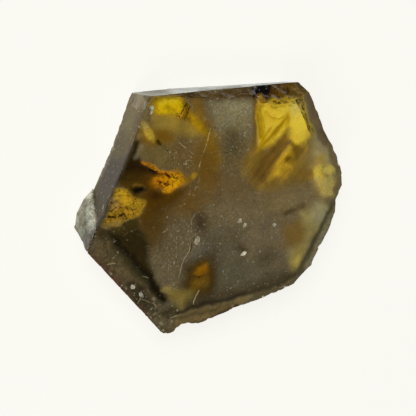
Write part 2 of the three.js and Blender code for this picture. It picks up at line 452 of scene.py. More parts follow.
def band(line, width, colour, edge=0.2, **more):
    """A zone along a line."""

    def inside(at):
        return width / 2 - np.abs(distance_to_line(at, line))

    return {"inside": inside, "colour": colour, "edge": edge, **more}


# Lines of the upper right window that are zones and fine marks as well
ARC = [(5.2, 10.8), (5.5, 10.3), (6.1, 10), (6.9, 9.9), (7.6, 10.2)]
LONG_DASH = [(6.1, 11.75), (6.6, 11.65), (7, 11.7)]
SHORT_DASH = [(8.6, 11.85), (8.9, 11.7)]
STREAK = [(8, 10.1), (7.3, 9.4), (6.2, 8.3)]

MIDDLE = {
    "brown_middle": spot((1.5, 2.4), (8, 3), 0, (100, 82, 50), edge=2.4, dust=0.5),
    "left_of_middle": spot((-4.5, 0.5), (2.4, 1.8), 30, (97, 74, 32), edge=1.6, dust=0.5),
    "grey_middle": spot((2.2, -0.8), (3.2, 1.6), 0, (107, 93, 64), edge=1.6, dust=0.8),
    "grey_left_low": spot((-6, -5), (3.5, 3.5), 0, (98, 86, 60), edge=2, dust=1),
    "grey_low": spot((2, -8), (5, 2.2), 10, (86, 80, 60), edge=1.6, dust=0.5),
    "grey_right": spot((6.2, -4), (3.4, 3.6), 0, (103, 90, 64), edge=2, dust=0.6),
    "brown_right": spot((8.6, 0.3), (3.6, 1.7), 0, (113, 97, 63), edge=1.6, dust=0.4),
    "dark_by_crack": patch([(-3.5, -0.6), (-2.4, -0.4), (-1.6, -1.2), (-1.7, -2.8), (-3.2, -2.8)],
        (70, 58, 38), edge=0.7),
    "smudge": band([(8.4, -1.3), (9.6, -0.8), (10.8, -0.2)], 0.55, (72, 58, 30), edge=0.45),
    "dark_cloud": spot((6.2, -6.2), (1.4, 0.9), 20, (76, 67, 46), edge=1),
    "dark_by_pit": spot((2.7, -5), (0.7, 0.4), 0, (66, 56, 36), edge=0.4),
    "cloud_by_crack": spot((-2.9, -5.3), (1.6, 0.7), 20, (104, 98, 80), edge=0.6, dust=1),
}

TOP_ARM = {
    "top_arm": patch([(-2.6, 12.6), (3.7, 12.7), (3.9, 8), (3.2, 5.8), (0.4, 4.9), (-1.1, 7.6),
        (-1.9, 9.3)], (116, 106, 73), edge=1, dust=1),
    "top_arm_pale": spot((1.2, 11.2), (2.2, 0.9), 5, (127, 118, 86), edge=0.9),
    "top_arm_foot": patch([(-1.2, 8.2), (3.6, 8.2), (3.4, 5.5), (1, 3.5), (-0.8, 5)], (96, 81, 49),
        edge=1.4, dust=1),
    "top_arm_blotch": spot((0.8, 7.2), (1, 1.5), -20, (84, 74, 47), edge=0.9),
    "under_top_edge": patch([(-5, 12.4), (3.7, 13.2), (3.7, 12.3), (-0.6, 12), (-4.4, 11.8)], (84, 68, 44),
        edge=0.35),
    "beside_window": band([(3.6, 12.9), (3.7, 10.5), (3.9, 8.5), (4, 6.6)], 0.7, (98, 76, 34), edge=0.35,
        clear=0.2, dust=0.2),
    "lighter_streak": band([(2.5, 3.6), (3.2, 4.9), (4.3, 6.4)], 0.7, (116, 96, 40), edge=0.5),
    "low_smear": band([(4.2, 2.2), (5.2, 2.4), (6.2, 2.7)], 0.5, (116, 94, 38), edge=0.5),
}

UPPER_LEFT = {
    "upper_left_arm": patch([(-10.4, 10), (-8, 10.3), (-5, 9.8), (-3, 8), (-3.4, 4.4), (-6, 4), (-9.5, 5),
        (-11.3, 6.4)], (104, 87, 46), edge=0.8, dust=0.5),
    "arm_dust": spot((-5, 6), (2.2, 1.6), -15, (102, 82, 46), edge=0.9, dust=1.2),
    "olive_arm": patch([(-9.2, 10.4), (-6.8, 10.1), (-4.4, 9.6), (-3.2, 8.4), (-4.6, 7.9), (-6.5, 8.4),
        (-8.6, 8.6)], (144, 118, 46), clear=0.3, edge=0.6, dust=0.2),
    "corner_brown": band([(-9.4, 12.3), (-9.9, 11), (-10.6, 9.4), (-11, 8.2)], 0.9, (118, 101, 62),
        edge=0.5),
    "amber_by_arm": patch([(-4.4, 11.9), (-3.4, 12), (-2.4, 10), (-1.4, 8), (-0.4, 5.2), (-1.3, 4.4),
        (-2.9, 6.7), (-3.2, 8.7)], (132, 99, 20), clear=0.4, edge=0.9, dust=0.3),
    "brown_by_crack": spot((-2.2, 4.4), (1.4, 2.4), 10, (104, 76, 24), clear=0.2, edge=1.2, dust=0.3),
    "amber_under_small": patch([(-10.5, 7.9), (-9, 8.3), (-7.5, 8.4), (-7.4, 7.6), (-8.6, 7.1),
        (-10.3, 7.4)], (112, 80, 14), clear=0.35, edge=0.6, dust=0.1),
    "amber_glow": spot((-7.7, 8), (1.1, 0.8), -25, (112, 80, 18), clear=0.35, edge=0.6, dust=0.2),
    "first_comma": band([(-8.5, 7.6), (-8, 7.1)], 0.3, (58, 44, 10)),
    "second_comma": band([(-7.7, 6.9), (-7.1, 6.4)], 0.3, (84, 74, 40), edge=0.25),
}

TOP_LEFT_WINDOW = {
    "top_left_window": patch([(-9.5, 11.9), (-8.7, 12.4), (-6.6, 12.5), (-5.3, 12), (-4.5, 11), (-3.6, 10),
        (-2.7, 9), (-2.3, 8.2), (-3.3, 8.4), (-4.3, 9.3), (-4.8, 9.8), (-5.9, 10), (-7, 10.2), (-8, 10.4),
        (-9, 10.5)], (158, 126, 20), clear=0.75, dust=0.05, crackle=0.3),
    "top_left_core": patch([(-8.7, 11.9), (-7.7, 12.2), (-6, 12.2), (-5.5, 11.6), (-5.3, 10.9),
        (-5.9, 10.3), (-7.4, 10.6), (-8.7, 10.8)], (216, 178, 26), clear=0.93, edge=0.3),
    "bright_under_edge": band([(-8.2, 11.8), (-6.5, 11.9)], 0.35, (222, 190, 48)),
    "shade_in_core": band([(-7.6, 11.4), (-7, 10.9), (-6.4, 10.7)], 0.35, (158, 128, 14), edge=0.3),
    "window_arm": band([(-4.4, 10.2), (-3.7, 9.6), (-3.3, 9.1)], 0.7, (176, 136, 20), clear=0.7, edge=0.35,
        dust=0.05),
    "brown_under_cracks": band([(-5.5, 9.9), (-4.6, 9.7)], 0.5, (112, 78, 16), edge=0.35),
    "cracked_corner": patch([(-5.3, 11.7), (-4.5, 11.5), (-4.7, 10.2), (-5.7, 9.8), (-6.2, 10.2),
        (-5.5, 10.8)], (124, 94, 16), edge=0.25, crackle=0.6),
    "gleam_by_cracks": band([(-5.35, 10.9), (-5.5, 10.4), (-5.8, 9.9)], 0.2, (214, 158, 48), edge=0.12),
    "small_window": patch([(-10.4, 9.3), (-9.8, 9.5), (-9.1, 8.8), (-8.7, 7.9), (-9.4, 7.6), (-10.1, 8),
        (-10.7, 8.5)], (138, 109, 32), clear=0.55, edge=0.35, dust=0.05, crackle=0.3),
    "small_window_pale": spot((-9.9, 9), (0.45, 0.3), -60, (196, 172, 84), edge=0.3),
    "small_window_core": spot((-9.4, 8.2), (0.6, 0.35), -50, (212, 176, 58), edge=0.3, crackle=0.5),
}

LEFT_SIDE = {
    "left_dark": patch([(-10.9, 7.2), (-11, 6.2), (-10.3, 5.3), (-8.9, 4.6), (-7.6, 4.1), (-8.4, 3.2),
        (-8, 1.7), (-9.4, 1.8), (-10.4, 2.9), (-12.6, 3), (-13, 3.5), (-12.2, 4.9), (-11.6, 6.4)],
        (40, 28, 4), clear=0.5, edge=0.4, dust=0, crackle=0.25),
    "left_dark_spot": patch([(-10.9, 7.9), (-10.5, 7.6), (-10.8, 6.8), (-11.4, 6.2), (-11.2, 7.4)],
        (38, 32, 14), edge=0.25, dust=0),
    "haze_by_dark": band([(-10.3, 7), (-10.7, 6.4), (-11, 5.7)], 0.4, (116, 106, 76), edge=0.3),
    "olive_in_dark": spot((-12, 3.6), (0.9, 0.5), 0, (64, 50, 14)),
    "brown_in_dark": spot((-9.7, 3.3), (1.2, 0.8), 0, (82, 56, 12), edge=0.7),
    "amber_low": patch([(-11, 1.4), (-9.5, 2.6), (-7.2, 2.3), (-5.9, 2.3), (-4.4, 2.6), (-5.2, 1.4),
        (-7.2, -0.2), (-8.2, -2.4), (-9.6, -2.6), (-10.7, -0.9), (-10.1, 0.3)], (84, 56, 7), clear=0.4,
        edge=0.8, dust=0.1),
    "amber_dark": spot((-8.5, 1.5), (0.8, 0.5), 0, (56, 36, 3)),
    "flake": patch([(-10.1, 5.3), (-9.2, 5.1), (-7.8, 4.4), (-6.7, 4.1), (-5.5, 3.8), (-5.1, 3.2),
        (-5.8, 2.7), (-6.6, 1.9), (-7.2, 1.8), (-7.6, 2.4), (-8.6, 2.7), (-8.8, 3.4), (-8, 3.9),
        (-9.2, 4.7)], (192, 128, 9), clear=0.75, edge=0.22, dust=0, crackle=1),
    "flake_dim": spot((-8.3, 3), (0.8, 0.7), 0, (168, 106, 8), clear=0.6),
    "flake_hot": spot((-6, 3.4), (0.9, 0.6), -15, (226, 160, 20), clear=0.9, edge=0.35),
    "flake_tip": spot((-7, 2.1), (0.5, 0.3), 20, (214, 150, 22), edge=0.2),
    "flake_tail": patch([(-5.4, 3.7), (-4.3, 3.7), (-3.4, 4), (-3.3, 3.5), (-4.2, 3.2), (-5.2, 3)],
        (134, 100, 24), clear=0.4, edge=0.35, dust=0.1),
    "tail_core": spot((-3.8, 3.6), (0.35, 0.25), 0, (176, 136, 34), edge=0.2),
    "flake_rim": band([(-10.2, 5.15), (-9.3, 5.05), (-8.6, 4.65), (-7.8, 4.3), (-6.9, 4.05)], 0.2,
        (186, 120, 12), edge=0.14),
    "flake_crack": band([(-9.3, 4.45), (-8.7, 4.15), (-8, 3.95), (-7.4, 3.95), (-6.9, 3.6)], 0.26,
        (20, 12, 2), edge=0.14, crackle=0),
    "fan_olive": patch([(-12.7, 3.2), (-11, 3.3), (-10.1, 2.9), (-10.1, 1.9), (-10.6, 1), (-11.2, 1.8),
        (-12, 2.5), (-12.9, 2.8)], (76, 56, 12), clear=0.4, edge=0.3, dust=0),
    "black_fleck": patch([(-11.4, 2.6), (-10.2, 2.7), (-9.8, 2.1), (-10.8, 1.8)], (16, 12, 3), edge=0.25),
    "orange_fleck": band([(-11.1, 2.8), (-10.6, 2.85), (-10.2, 2.75)], 0.12, (130, 94, 30), edge=0.12),
    "fan": patch([(-13.6, 1.7), (-13.2, 2.6), (-11.9, 2.4), (-11.1, 1.6), (-9.7, 0.8), (-10.1, -0.1),
        (-10.6, -0.8), (-12.4, -1.3), (-13.8, -1.8), (-14.7, -1.4), (-14.2, -0.3)], (154, 117, 33),
        clear=0.7, edge=0.15, dust=0.1, crackle=1),
    "fan_right": spot((-10.9, 0.3), (0.7, 0.9), 0, (188, 147, 42), clear=0.8, edge=0.4),
    "fan_top": patch([(-13.4, 1.8), (-13, 2.4), (-12, 2.3), (-11.4, 1.6), (-11, 0.6), (-12, 0.6)],
        (182, 142, 38), clear=0.8, edge=0.3, crackle=0.7),
    "fan_brown": spot((-13.4, 0.9), (0.5, 0.7), 20, (158, 126, 58), edge=0.3),
    "fan_pale": spot((-13.3, -1.3), (0.9, 0.3), 15, (148, 121, 58), edge=0.25, crackle=0.3),
    "amber_fading": spot((-8.6, -2.2), (1.5, 2.4), -30, (80, 60, 22), edge=1.3, dust=0.3),
}

LOWER_LEFT = {
    # The dark triangle and the dark band by the lower-left growth face are painted shade: the darkening of
    # the interior that refraction and total internal reflection at that slanting face give. The band also
    # follows the back edge of that face, seen through.
    "painted_shade_triangle": patch([(-14.2, -2.4), (-13, -2.2), (-10.7, -1.4), (-9.9, -2.2), (-9.2, -3.8),
        (-9.1, -5.6), (-8.4, -7.6), (-6.4, -10.4), (-7.2, -11), (-8.6, -9.3), (-10.6, -7.2), (-12.3, -4.8),
        (-13.6, -3.2)], (49, 39, 16), clear=0.4, dust=0.3, crackle=0.2),
    "olive_of_triangle": patch([(-14.3, -1.9), (-13.6, -1.7), (-12, -1.2), (-10.6, -0.9), (-10.2, -2.1),
        (-12.4, -2.7)], (62, 51, 19), edge=0.15),
    "shaded_edge_band": band([(-14.3, -2.3), (-13.1, -3.3), (-11.5, -5), (-9.8, -6.8), (-7.9, -8.8), (-6.9, -10)],
        0.8, (30, 24, 12), edge=0.3, dust=0.3, crackle=0.4),
    "green_by_band": band([(-14.4, -2.8), (-12.9, -4.6), (-11.3, -6.4), (-9.6, -8.2)], 1, (60, 53, 27),
        edge=0.5),
    "growth_band": patch([(-16.6, -4.4), (-14.4, -2.8), (-13.2, -4.4), (-11.9, -6.2), (-10.2, -8),
        (-7.8, -10.4), (-5.6, -12), (-5, -13.8), (-6.5, -14.7), (-9.7, -11.8), (-13.2, -8)], (91, 77, 48),
        clear=0.2, dust=0.8, crackle=0.4),
    "corner_shade": spot((-14.9, -2.6), (0.9, 0.6), -40, (62, 52, 29)),
    "fan_foot": band([(-14.9, -1.9), (-13.9, -2.2)], 0.5, (60, 48, 23), edge=0.3),
    "red_rim": band([(-15.9, -4.9), (-14.4, -6.5), (-13, -7.9), (-11.3, -9.7), (-9, -12)], 0.9,
        (84, 60, 42), edge=0.5),
    "dark_in_band": spot((-9.7, -9.7), (2.3, 0.8), -45, (60, 52, 33), crackle=0.5),
    "tip_grey": spot((-7.2, -12.4), (1.6, 1.3), -45, (92, 82, 56), edge=0.8, dust=1),
    "tip_dark": spot((-6.2, -11.6), (1.1, 0.5), 15, (64, 56, 34), edge=0.4),
}

BOTTOM = {
    "bottom_halo": spot((-2.6, -8.4), (2.3, 3.2), -8, (64, 48, 16), clear=0.4, edge=1.1, dust=0.3),
    "bottom_orange": spot((-2.5, -8.5), (1.1, 1.8), 8, (84, 61, 17), clear=0.5, edge=0.8, dust=0.2),
    "orange_core": patch([(-3.4, -7.4), (-3, -6.8), (-1.9, -6.3), (-1.8, -7.3), (-2.6, -7.7)],
        (158, 107, 13), clear=0.65, edge=0.4, crackle=0.4),
    "orange_second": spot((-2.6, -8.6), (1, 0.7), 10, (114, 84, 24), clear=0.5, crackle=0.4),
    "bottom_olive": patch([(-6.9, -9), (-5.6, -9.1), (-3.4, -9.6), (-2.7, -11), (-4.6, -11.5),
        (-5.6, -10.8)], (130, 111, 50), clear=0.35, edge=0.7, dust=0.4),
    "olive_corner": spot((-6.5, -9.2), (0.6, 0.3), -10, (140, 122, 64), edge=0.3),
    "dark_above_line": band([(-4, -11), (-0.5, -10.4), (3.6, -9.8), (8, -9), (10.2, -8.2)], 1.2,
        (68, 58, 38), edge=0.9),
    "low_dark_line": band([(-5.4, -11.9), (-3.1, -11.25), (-0.5, -10.95), (3.6, -10.2)], 0.45, (42, 36, 22),
        edge=0.3, dust=0, crackle=0.3),
    "low_dark_end": band([(3.6, -10.2), (8, -9.5), (10.2, -8.7)], 0.5, (58, 50, 32), edge=0.45, dust=0.2),
    "tan_band": patch([(-5.3, -12.2), (-2.4, -11.6), (0.6, -11.2), (4.2, -10.45), (5, -10.8), (1.2, -12.2),
        (-2.4, -13.6), (-4.6, -13.9), (-5.4, -14.4)], (117, 98, 58), clear=0.25, edge=0.2, dust=0.3,
        crackle=0.3),
    "tan_shade": band([(-5, -12.6), (-3.2, -12.2), (-0.6, -11.9), (1.6, -11.3)], 0.3, (82, 68, 38),
        edge=0.3),
    "tan_low_edge": band([(-4.8, -13.7), (-2.6, -13.4), (-0.4, -12.7), (2.4, -11.6)], 0.5, (66, 55, 32),
        edge=0.25),
    "low_rim": patch([(4.2, -10.5), (8.4, -9.8), (10.8, -8.6), (12.2, -7.4), (12.2, -8.4), (8, -10.9),
        (4, -11.9)], (92, 80, 52), clear=0.2, edge=0.25),
}

LOWER_RIGHT = {
    "olive_side": patch([(10.4, -1), (13.7, -0.6), (14.4, -2), (12.6, -4.4), (11.4, -6), (10.6, -7.6),
        (9.6, -7.6), (9.2, -5.6), (10.6, -4.4)], (150, 134, 74), clear=0.4, edge=0.9, dust=0.2),
    "pale_side": spot((13.2, -1.3), (1.3, 1.1), -40, (150, 141, 99), edge=0.9, dust=0.2),
    "lower_amber": patch([(8.2, -2.6), (10.1, -2), (11.5, -3), (11.3, -4.3), (10.3, -5.1), (9, -4.9),
        (8.3, -3.9)], (115, 91, 42), clear=0.35, edge=0.8, dust=0.1),
    "lower_yellow": spot((10.4, -6.4), (0.5, 1.1), -22, (140, 122, 60), clear=0.5, dust=0),
    "yellow_core": spot((10.5, -6.8), (0.35, 0.6), -25, (186, 163, 80), clear=0.65, edge=0.3),
    "pale_strip": band([(15, -1.1), (14.4, -2.6), (13.4, -4.7), (12.5, -6.6), (11.9, -7.6)], 0.7,
        (116, 107, 79), edge=0.3),
    "side_dark_line": band([(14.8, -0.8), (13.5, -3.2), (12.6, -4.8), (11.6, -6.6), (10.8, -8)], 0.6,
        (66, 62, 40), edge=0.35, dust=0),
}

TOP_RIGHT_WINDOW = {
    "right_amber": patch([(2.6, 4.9), (4, 7), (6, 6.3), (8.9, 7), (11.8, 6.6), (12.2, 3.6), (10.5, 2.5),
        (5.5, 1.8), (3.7, 2.7)], (130, 102, 36), clear=0.3, edge=1.1, dust=0.2, streaks=0.5),
    "top_right_window": patch([(4, 12.1), (4.4, 11.6), (6.2, 12.2), (9.9, 12.4), (10.8, 10.3), (12.1, 8.2),
        (11.5, 7.4), (10.5, 6.6), (9.4, 6.7), (8.7, 7.4), (6.2, 6.7), (4.4, 6.3), (4.1, 8.4), (3.9, 10.1)],
        (215, 181, 56), clear=0.93, edge=0.25, dust=0.03, streaks=0.25),
    "window_pale_side": patch([(8.3, 12.5), (10, 12.5), (12, 8.2), (10.6, 7.2), (8.6, 8.2)], (216, 187, 64),
        clear=0.93, edge=0.8, streaks=0.15),
    "window_top_pale": spot((9.1, 11.2), (0.8, 0.8), 0, (206, 186, 92)),
    "band_ground": patch([(3.3, 12.3), (9.9, 12.4), (11.4, 13.4), (9.8, 14.8), (3.3, 14.4)], (66, 47, 10),
        clear=0.2, edge=0.2, dust=0.7, crackle=1),
    "band_black": patch([(3.3, 12.6), (5.4, 12.5), (6, 13.3), (5.8, 14.4), (3.3, 14.2)], (26, 20, 4),
        edge=0.25, crackle=0.8),
    "band_pale": patch([(8.5, 12.6), (10, 12.5), (10.8, 13.6), (9, 14.2)], (100, 82, 46), edge=0.4),
    "window_orange": patch([(3.9, 12.9), (4.8, 12.7), (5.1, 11.9), (4.3, 11.6), (3.9, 12)], (198, 146, 22),
        clear=0.75, edge=0.25),
    "split": band([(8.2, 12.2), (8.2, 10.1), (8.3, 8.6)], 0.18, (182, 150, 34), edge=0.15),
    "brown_dot": spot((8.1, 10), (0.3, 0.4), 0, (168, 132, 18), edge=0.25),
    "arc": band(ARC, 0.16, (176, 142, 22), edge=0.12),
    "first_dash": band(LONG_DASH, 0.24, (52, 42, 10), edge=0.1),
    "second_dash": band([(7.4, 11.8), (8, 11.8)], 0.16, (84, 66, 16), edge=0.1),
    "third_dash": band(SHORT_DASH, 0.18, (84, 70, 20), edge=0.1),
    "fibres_ground": band([(4.1, 11.3), (4.4, 9.6), (4.7, 8)], 0.8, (168, 132, 26), edge=0.3),
    "brown_streak": patch([(8.4, 8.7), (7.3, 7.9), (5.9, 6.7), (4.5, 5.2), (3.8, 4.1), (3.8, 2.8),
        (5.3, 2.9), (6.6, 4.4), (7.8, 5.8), (8.5, 7.1)], (112, 84, 31), clear=0.3, dust=0.1, streaks=0.6),
    "yellow_streak": patch([(8.9, 6.7), (8.9, 5.8), (9.2, 4.7), (8.6, 3.7), (7.6, 3.2), (6.4, 3.5),
        (6.9, 4.3), (7.8, 5.5)], (178, 140, 32), clear=0.55, dust=0.05, streaks=0.6),
    "streak_core": band([(8.7, 6.4), (8.1, 5.5), (7.4, 4.4)], 0.5, (216, 176, 50), clear=0.85, edge=0.4),
    "streak_foot": band([(7.6, 4.4), (6.6, 3.4), (6.1, 3)], 0.35, (196, 158, 48), clear=0.75, edge=0.3),
    "streak_gleam": spot((8.5, 4.6), (0.5, 0.25), -30, (214, 176, 54), clear=0.8, edge=0.2),
    "low_gleam": spot((7.3, 3.6), (0.4, 0.25), 20, (208, 170, 50), clear=0.8, edge=0.2),
    "streak_spot": spot((8.5, 5.2), (0.4, 0.3), 45, (112, 82, 18), edge=0.25),
    "brown_patch": patch([(8.9, 7), (10, 7), (10.2, 6.3), (9.3, 5.9), (8.9, 6.3)], (112, 84, 20), edge=0.3),
    "first_streak": band(STREAK, 0.22, (160, 126, 22), edge=0.14),
    "second_streak": band([(7.4, 9.3), (6.4, 8.3), (5.1, 7.1), (4.2, 6.2)], 0.4, (140, 106, 18), edge=0.25),
    "bright_streak": band([(7.9, 9), (7, 8.2), (6.2, 7.3)], 0.3, (222, 190, 56), edge=0.15),
    "third_streak": band([(5.9, 8.9), (5.2, 8), (4.6, 7)], 0.22, (160, 126, 22), edge=0.15),
}

RIGHT_SIDE = {
    "right_olive": patch([(10.4, 7), (11.8, 8), (12.6, 6), (12.4, 4), (11, 3.4), (10.4, 5)], (124, 102, 52),
        edge=0.7, dust=0.1),
    "window_tooth": band([(10.6, 7.2), (10.7, 6.2)], 0.35, (162, 130, 36), clear=0.4, edge=0.25),
    "right_milky": patch([(11.7, 8.2), (12.8, 7.6), (14.1, 6.2), (14.5, 4.6), (13, 4.2), (12, 4.9),
        (11.7, 6.2)], (142, 131, 86), clear=0.15, edge=0.8, dust=0.2),
    "right_window": patch([(11.6, 4.6), (13.4, 4.6), (14.4, 4.4), (14.8, 3.4), (15.2, 2.6), (14.8, 0.8),
        (13.5, 0.6), (12.4, 1.8), (11.8, 3.1)], (152, 131, 68), clear=0.3, edge=1.1, dust=0.1),
    "right_high": spot((12.9, 5.2), (0.8, 0.6), 0, (148, 124, 54), edge=0.6),
    "right_amber_side": spot((11.6, 3.4), (0.8, 0.5), 0, (134, 102, 36), edge=0.6),
    "right_core_low": patch([(12.7, 2.9), (14.3, 3), (15.1, 1.7), (14.9, 0.8), (13.6, 1.1)], (206, 182, 94),
        clear=0.35, edge=0.7),
    "right_core": patch([(12.1, 4.1), (12.8, 4.5), (14.3, 4.4), (14.8, 3.5), (14.1, 2.9), (12.4, 3)],
        (238, 208, 84), clear=0.85, edge=0.45),
    # A near-opaque bright yellow spot on the right wall is painted glow, standing in for light that shines
    # through the window there.
    "painted_glow_by_right_core": spot((14.1, 3.8), (0.75, 0.6), 0, (255, 232, 108), clear=0.08, edge=0.25),
}

RIMS = {
    "right_rim": patch([(10.1, 12.4), (10.9, 10.3), (12.2, 8.2), (13.2, 6.9), (14.2, 5.8), (15.1, 4.4),
        (15.6, 3.3), (15.4, 2.2), (15.1, 1), (16.2, 0.4), (16.8, 2.6), (15.7, 5.4), (13.1, 10),
        (11.4, 13.4)], (103, 90, 60), clear=0.2, edge=0.25, dust=0.2),
    "right_rim_purple": patch([(10.4, 12.6), (11.4, 10.6), (12.6, 8.6), (13.6, 7.2), (14.6, 6.4),
        (13.2, 10), (11.4, 13.2)], (92, 78, 54), edge=0.4),
    "left_edge": band([(-9.5, 12.34), (-10, 11.25), (-11.6, 6.64), (-13.9, 1.34), (-16.3, -4.4)], 0.3,
        (70, 58, 32), edge=0.15),
}

ZONES = {**MIDDLE, **TOP_ARM, **UPPER_LEFT, **TOP_LEFT_WINDOW, **LEFT_SIDE, **LOWER_LEFT, **BOTTOM,
         **LOWER_RIGHT, **TOP_RIGHT_WINDOW, **RIGHT_SIDE, **RIMS}


# Sides that have a look of their own, mottled with two colours. share is how much of it covers the
# zones' colour, grain the size of its mottles, rough the roughness of its shine, light how bright a
# white surface would be there, and gloss how bright a black one, by what it mirrors.

FRONT_LIGHT = 0.44
FRONT_GLOSS = 0.003

LEFT_ZONES = {
    "pale_top": patch([(-9.5, 12.6), (-12, 13.2), (-13.2, 9), (-11, 8)], (126, 116, 88), edge=1.2),
    "violet_low": patch([(-12.6, 5.5), (-14.2, 5.6), (-16, -0.5), (-15.3, -2), (-14.2, 1)], (90, 83, 80),
        edge=1.2),
    "grey_foot": spot((-15, 0.4), (0.9, 1.6), 65, (96, 91, 75), edge=0.7, dust=0.9),
    "soft_front_edge": band([(-9.5, 12.4), (-10.1, 11.2), (-11.6, 7)], 0.7, (112, 96, 64), edge=0.5),
    "outer_rim": band([(-12.1, 13.2), (-13.1, 9.6), (-13.9, 6.4), (-15.2, 3.8), (-16, 2.6)], 0.4,
        (138, 132, 112), edge=0.35, dust=1.6),
    "dark_line": band([(-11.6, 6.6), (-13.9, 1.3), (-15.4, -1.9)], 0.3, (64, 52, 30), edge=0.25),
}
PIT_ZONES = {
    "pit_by_corner": spot((-9.2, 10.9), (1, 1), 0, (112, 108, 82), edge=0.3, crackle=0.8),
    # The two bluish-white flecks by the pit at the corner are painted glints.
    "upper_painted_glint": band([(-9.6, 11.2), (-9.1, 11.1)], 0.2, (212, 220, 210), edge=0.15, crackle=0.3),
    "lower_painted_glint": band([(-9.4, 10.5), (-8.9, 10.8)], 0.2, (190, 196, 182), edge=0.15, crackle=0.3),
    "pit_in_arm": spot((3, -5.6), (0.8, 0.8), 0, (228, 226, 210), edge=0.3, crackle=0.2),
    "pit_in_band": spot((-10.9, -8.5), (0.5, 0.5), 0, (186, 184, 168), edge=0.2, crackle=0.6),
}
LUMP_ZONES = {
    "streak_high": band([(-17.2, 0.4), (-17.4, -1), (-17.7, -2.4)], 0.5, (150, 148, 128), edge=0.4),
    "shade_top": spot((-16.5, 1.6), (0.8, 0.5), 50, (92, 84, 60), edge=0.4, crackle=0.8),
    "streak_mid": band([(-16.7, -0.6), (-17, -2), (-17.2, -2.9)], 0.3, (146, 144, 120), edge=0.25),
    "violet_foot": spot((-16.6, -3.8), (0.7, 1.1), 20, (98, 92, 88)),
    "teal_shade": spot((-16.4, -2.6), (0.4, 1), 20, (88, 92, 80), edge=0.4),
    # The pale ridge of the lump's break is partly its own whitish colour and partly a painted highlight
    # along the ridge.
    "ridge_top": band([(-15.9, 2.4), (-16.3, 1.4), (-16.3, 0.5)], 0.7, (178, 176, 158), edge=0.25,
        dust=1.5),
    "ridge": band([(-16.2, 0.5), (-16, -0.4), (-15.8, -1.2), (-15.8, -2)], 0.8, (172, 172, 154), edge=0.3,
        dust=1.2, crackle=0.8),
    "ridge_foot": band([(-15.8, -2.2), (-16.1, -3), (-16.3, -3.8)], 0.7, (96, 90, 84), edge=0.4),
    "rim_shade": band([(-17.9, -1.6), (-17.2, -3.2), (-16.5, -4.3)], 0.25, (84, 76, 52), edge=0.3),
}
# Drawn over the top side's painted reflection: duller towards its left end, with darker dusty flecks.
TOP_ZONES = {
    "duller_reflection_left_end": patch([(-9.6, 12.3), (-7, 12.6), (-7, 14.2), (-11.5, 14.2), (-11, 12.9)], (150, 148, 134),
        edge=0.8),
    "dark_flecks": band([(-3.4, 13.1), (-1, 13.3), (2, 13.6)], 0.2, (120, 112, 96), edge=0.3, dust=1.5),
}
BEVEL_ZONES = {
    "black_end": patch([(3.3, 12.4), (5.4, 12.2), (6.2, 13.2), (5.9, 14.4), (3.3, 14.2)], (26, 21, 5),
        edge=0.3, crackle=0.8),
    "brown_left": patch([(-4, 12), (3.3, 12.4), (3.3, 14), (-4, 13.4)], (80, 64, 38), edge=0.3,
        crackle=0.3),
    "pale_right": patch([(8.6, 12.4), (11, 12.4), (11, 14.2), (8.8, 14.2)], (98, 80, 44)),
}
SIDES = {
    "pit": {"colours": [(196, 193, 172), (126, 118, 94)], "grain": 0.3, "share": 0.85, "rough": 0.7,
            "crackle": 0.5, "light": 0.44, "gloss": 0.01, "zones": PIT_ZONES},
    "left": {"colours": [(116, 106, 80), (98, 90, 72)], "grain": 2.2, "share": 0.97, "rough": 0.55,
             "dust": 0.45, "light": 0.88, "gloss": 0.067, "zones": LEFT_ZONES},
    # The top side's pale bluish white is painted reflection, the glare of the pale floor at a grazing
    # angle.
    "top": {"colours": [(212, 215, 213), (192, 196, 193)], "grain": 2, "share": 0.92, "rough": 0.35,
            "dust": 0.3, "light": 0.6, "gloss": 0.25, "zones": TOP_ZONES},
    "growth": {"colours": [(100, 86, 60), (84, 66, 46)], "grain": 1.5, "share": 0.6, "clear": 0.1,
               "rough": 0.5, "dust": 0.5, "light": 0.5, "gloss": 0.02},
    "lump": {"colours": [(146, 145, 124), (88, 84, 66)], "grain": 0.8, "share": 0.95, "clear": 0.1,
             "rough": 0.35, "dust": 0.8, "crackle": 0.45, "light": 0.7, "gloss": 0.03,
             "zones": LUMP_ZONES},
    "bevel": {"colours": [(90, 68, 26), (46, 33, 10)], "grain": 0.5, "share": 0.7, "clear": 0.1,
              "rough": 0.25, "dust": 0.6, "crackle": 0.8, "light": 0.48, "gloss": 0.012,
              "zones": BEVEL_ZONES},
    "broken": {"colours": [(114, 100, 68), (92, 78, 48)], "grain": 1.2, "share": 0.75, "clear": 0.2,
               "rough": 0.3, "dust": 0.3, "light": 0.5, "gloss": 0.02},
    "back": {"colours": [(96, 86, 60), (82, 74, 54)], "grain": 2, "share": 0.1, "clear": 0.1,
             "rough": 0.45, "dust": 0.5, "light": 0.5, "gloss": 0.02},
}
CLEAR_LIGHT = np.array([0.72, 0.575, 0.17])  # what a fully clear white window would send to the eye
MILKY_BACK = 0.35  # how bright the milk of the back face looks from inside, beside the floor
SOFT_SIDES = ("left", "top", "lump", "broken")  # these pass into each other without a line
WINDOW_ROUGHNESS = 0.08
ARM_ROUGHNESS = 0.34
MOTTLES = {"octaves": 4, "seed": 101}
MOTTLE_LEVELS = (-0.6, 0.6)


def linear(colour):
    """An sRGB colour of 0 to 255 as linear light."""
    c = np.array(colour) / 255
    return np.where(c <= 0.04045, c / 12.92, ((c + 0.055) / 1.055) ** 2.4)


def lay_zones(layers, zones, places, softer=1):
    """Paints zones over the layers, in order, with borders that are softer times as wide."""
    for zone in zones.values():
        inside = zone["inside"](places)
        border = zone["edge"] * softer
        share = smooth_step(inside, -border, border)[:, None]
        for name, layer in layers.items():
            if name in zone:
                value = linear(zone[name]) if name == "colour" else zone[name]
                layer += share * (value - layer)


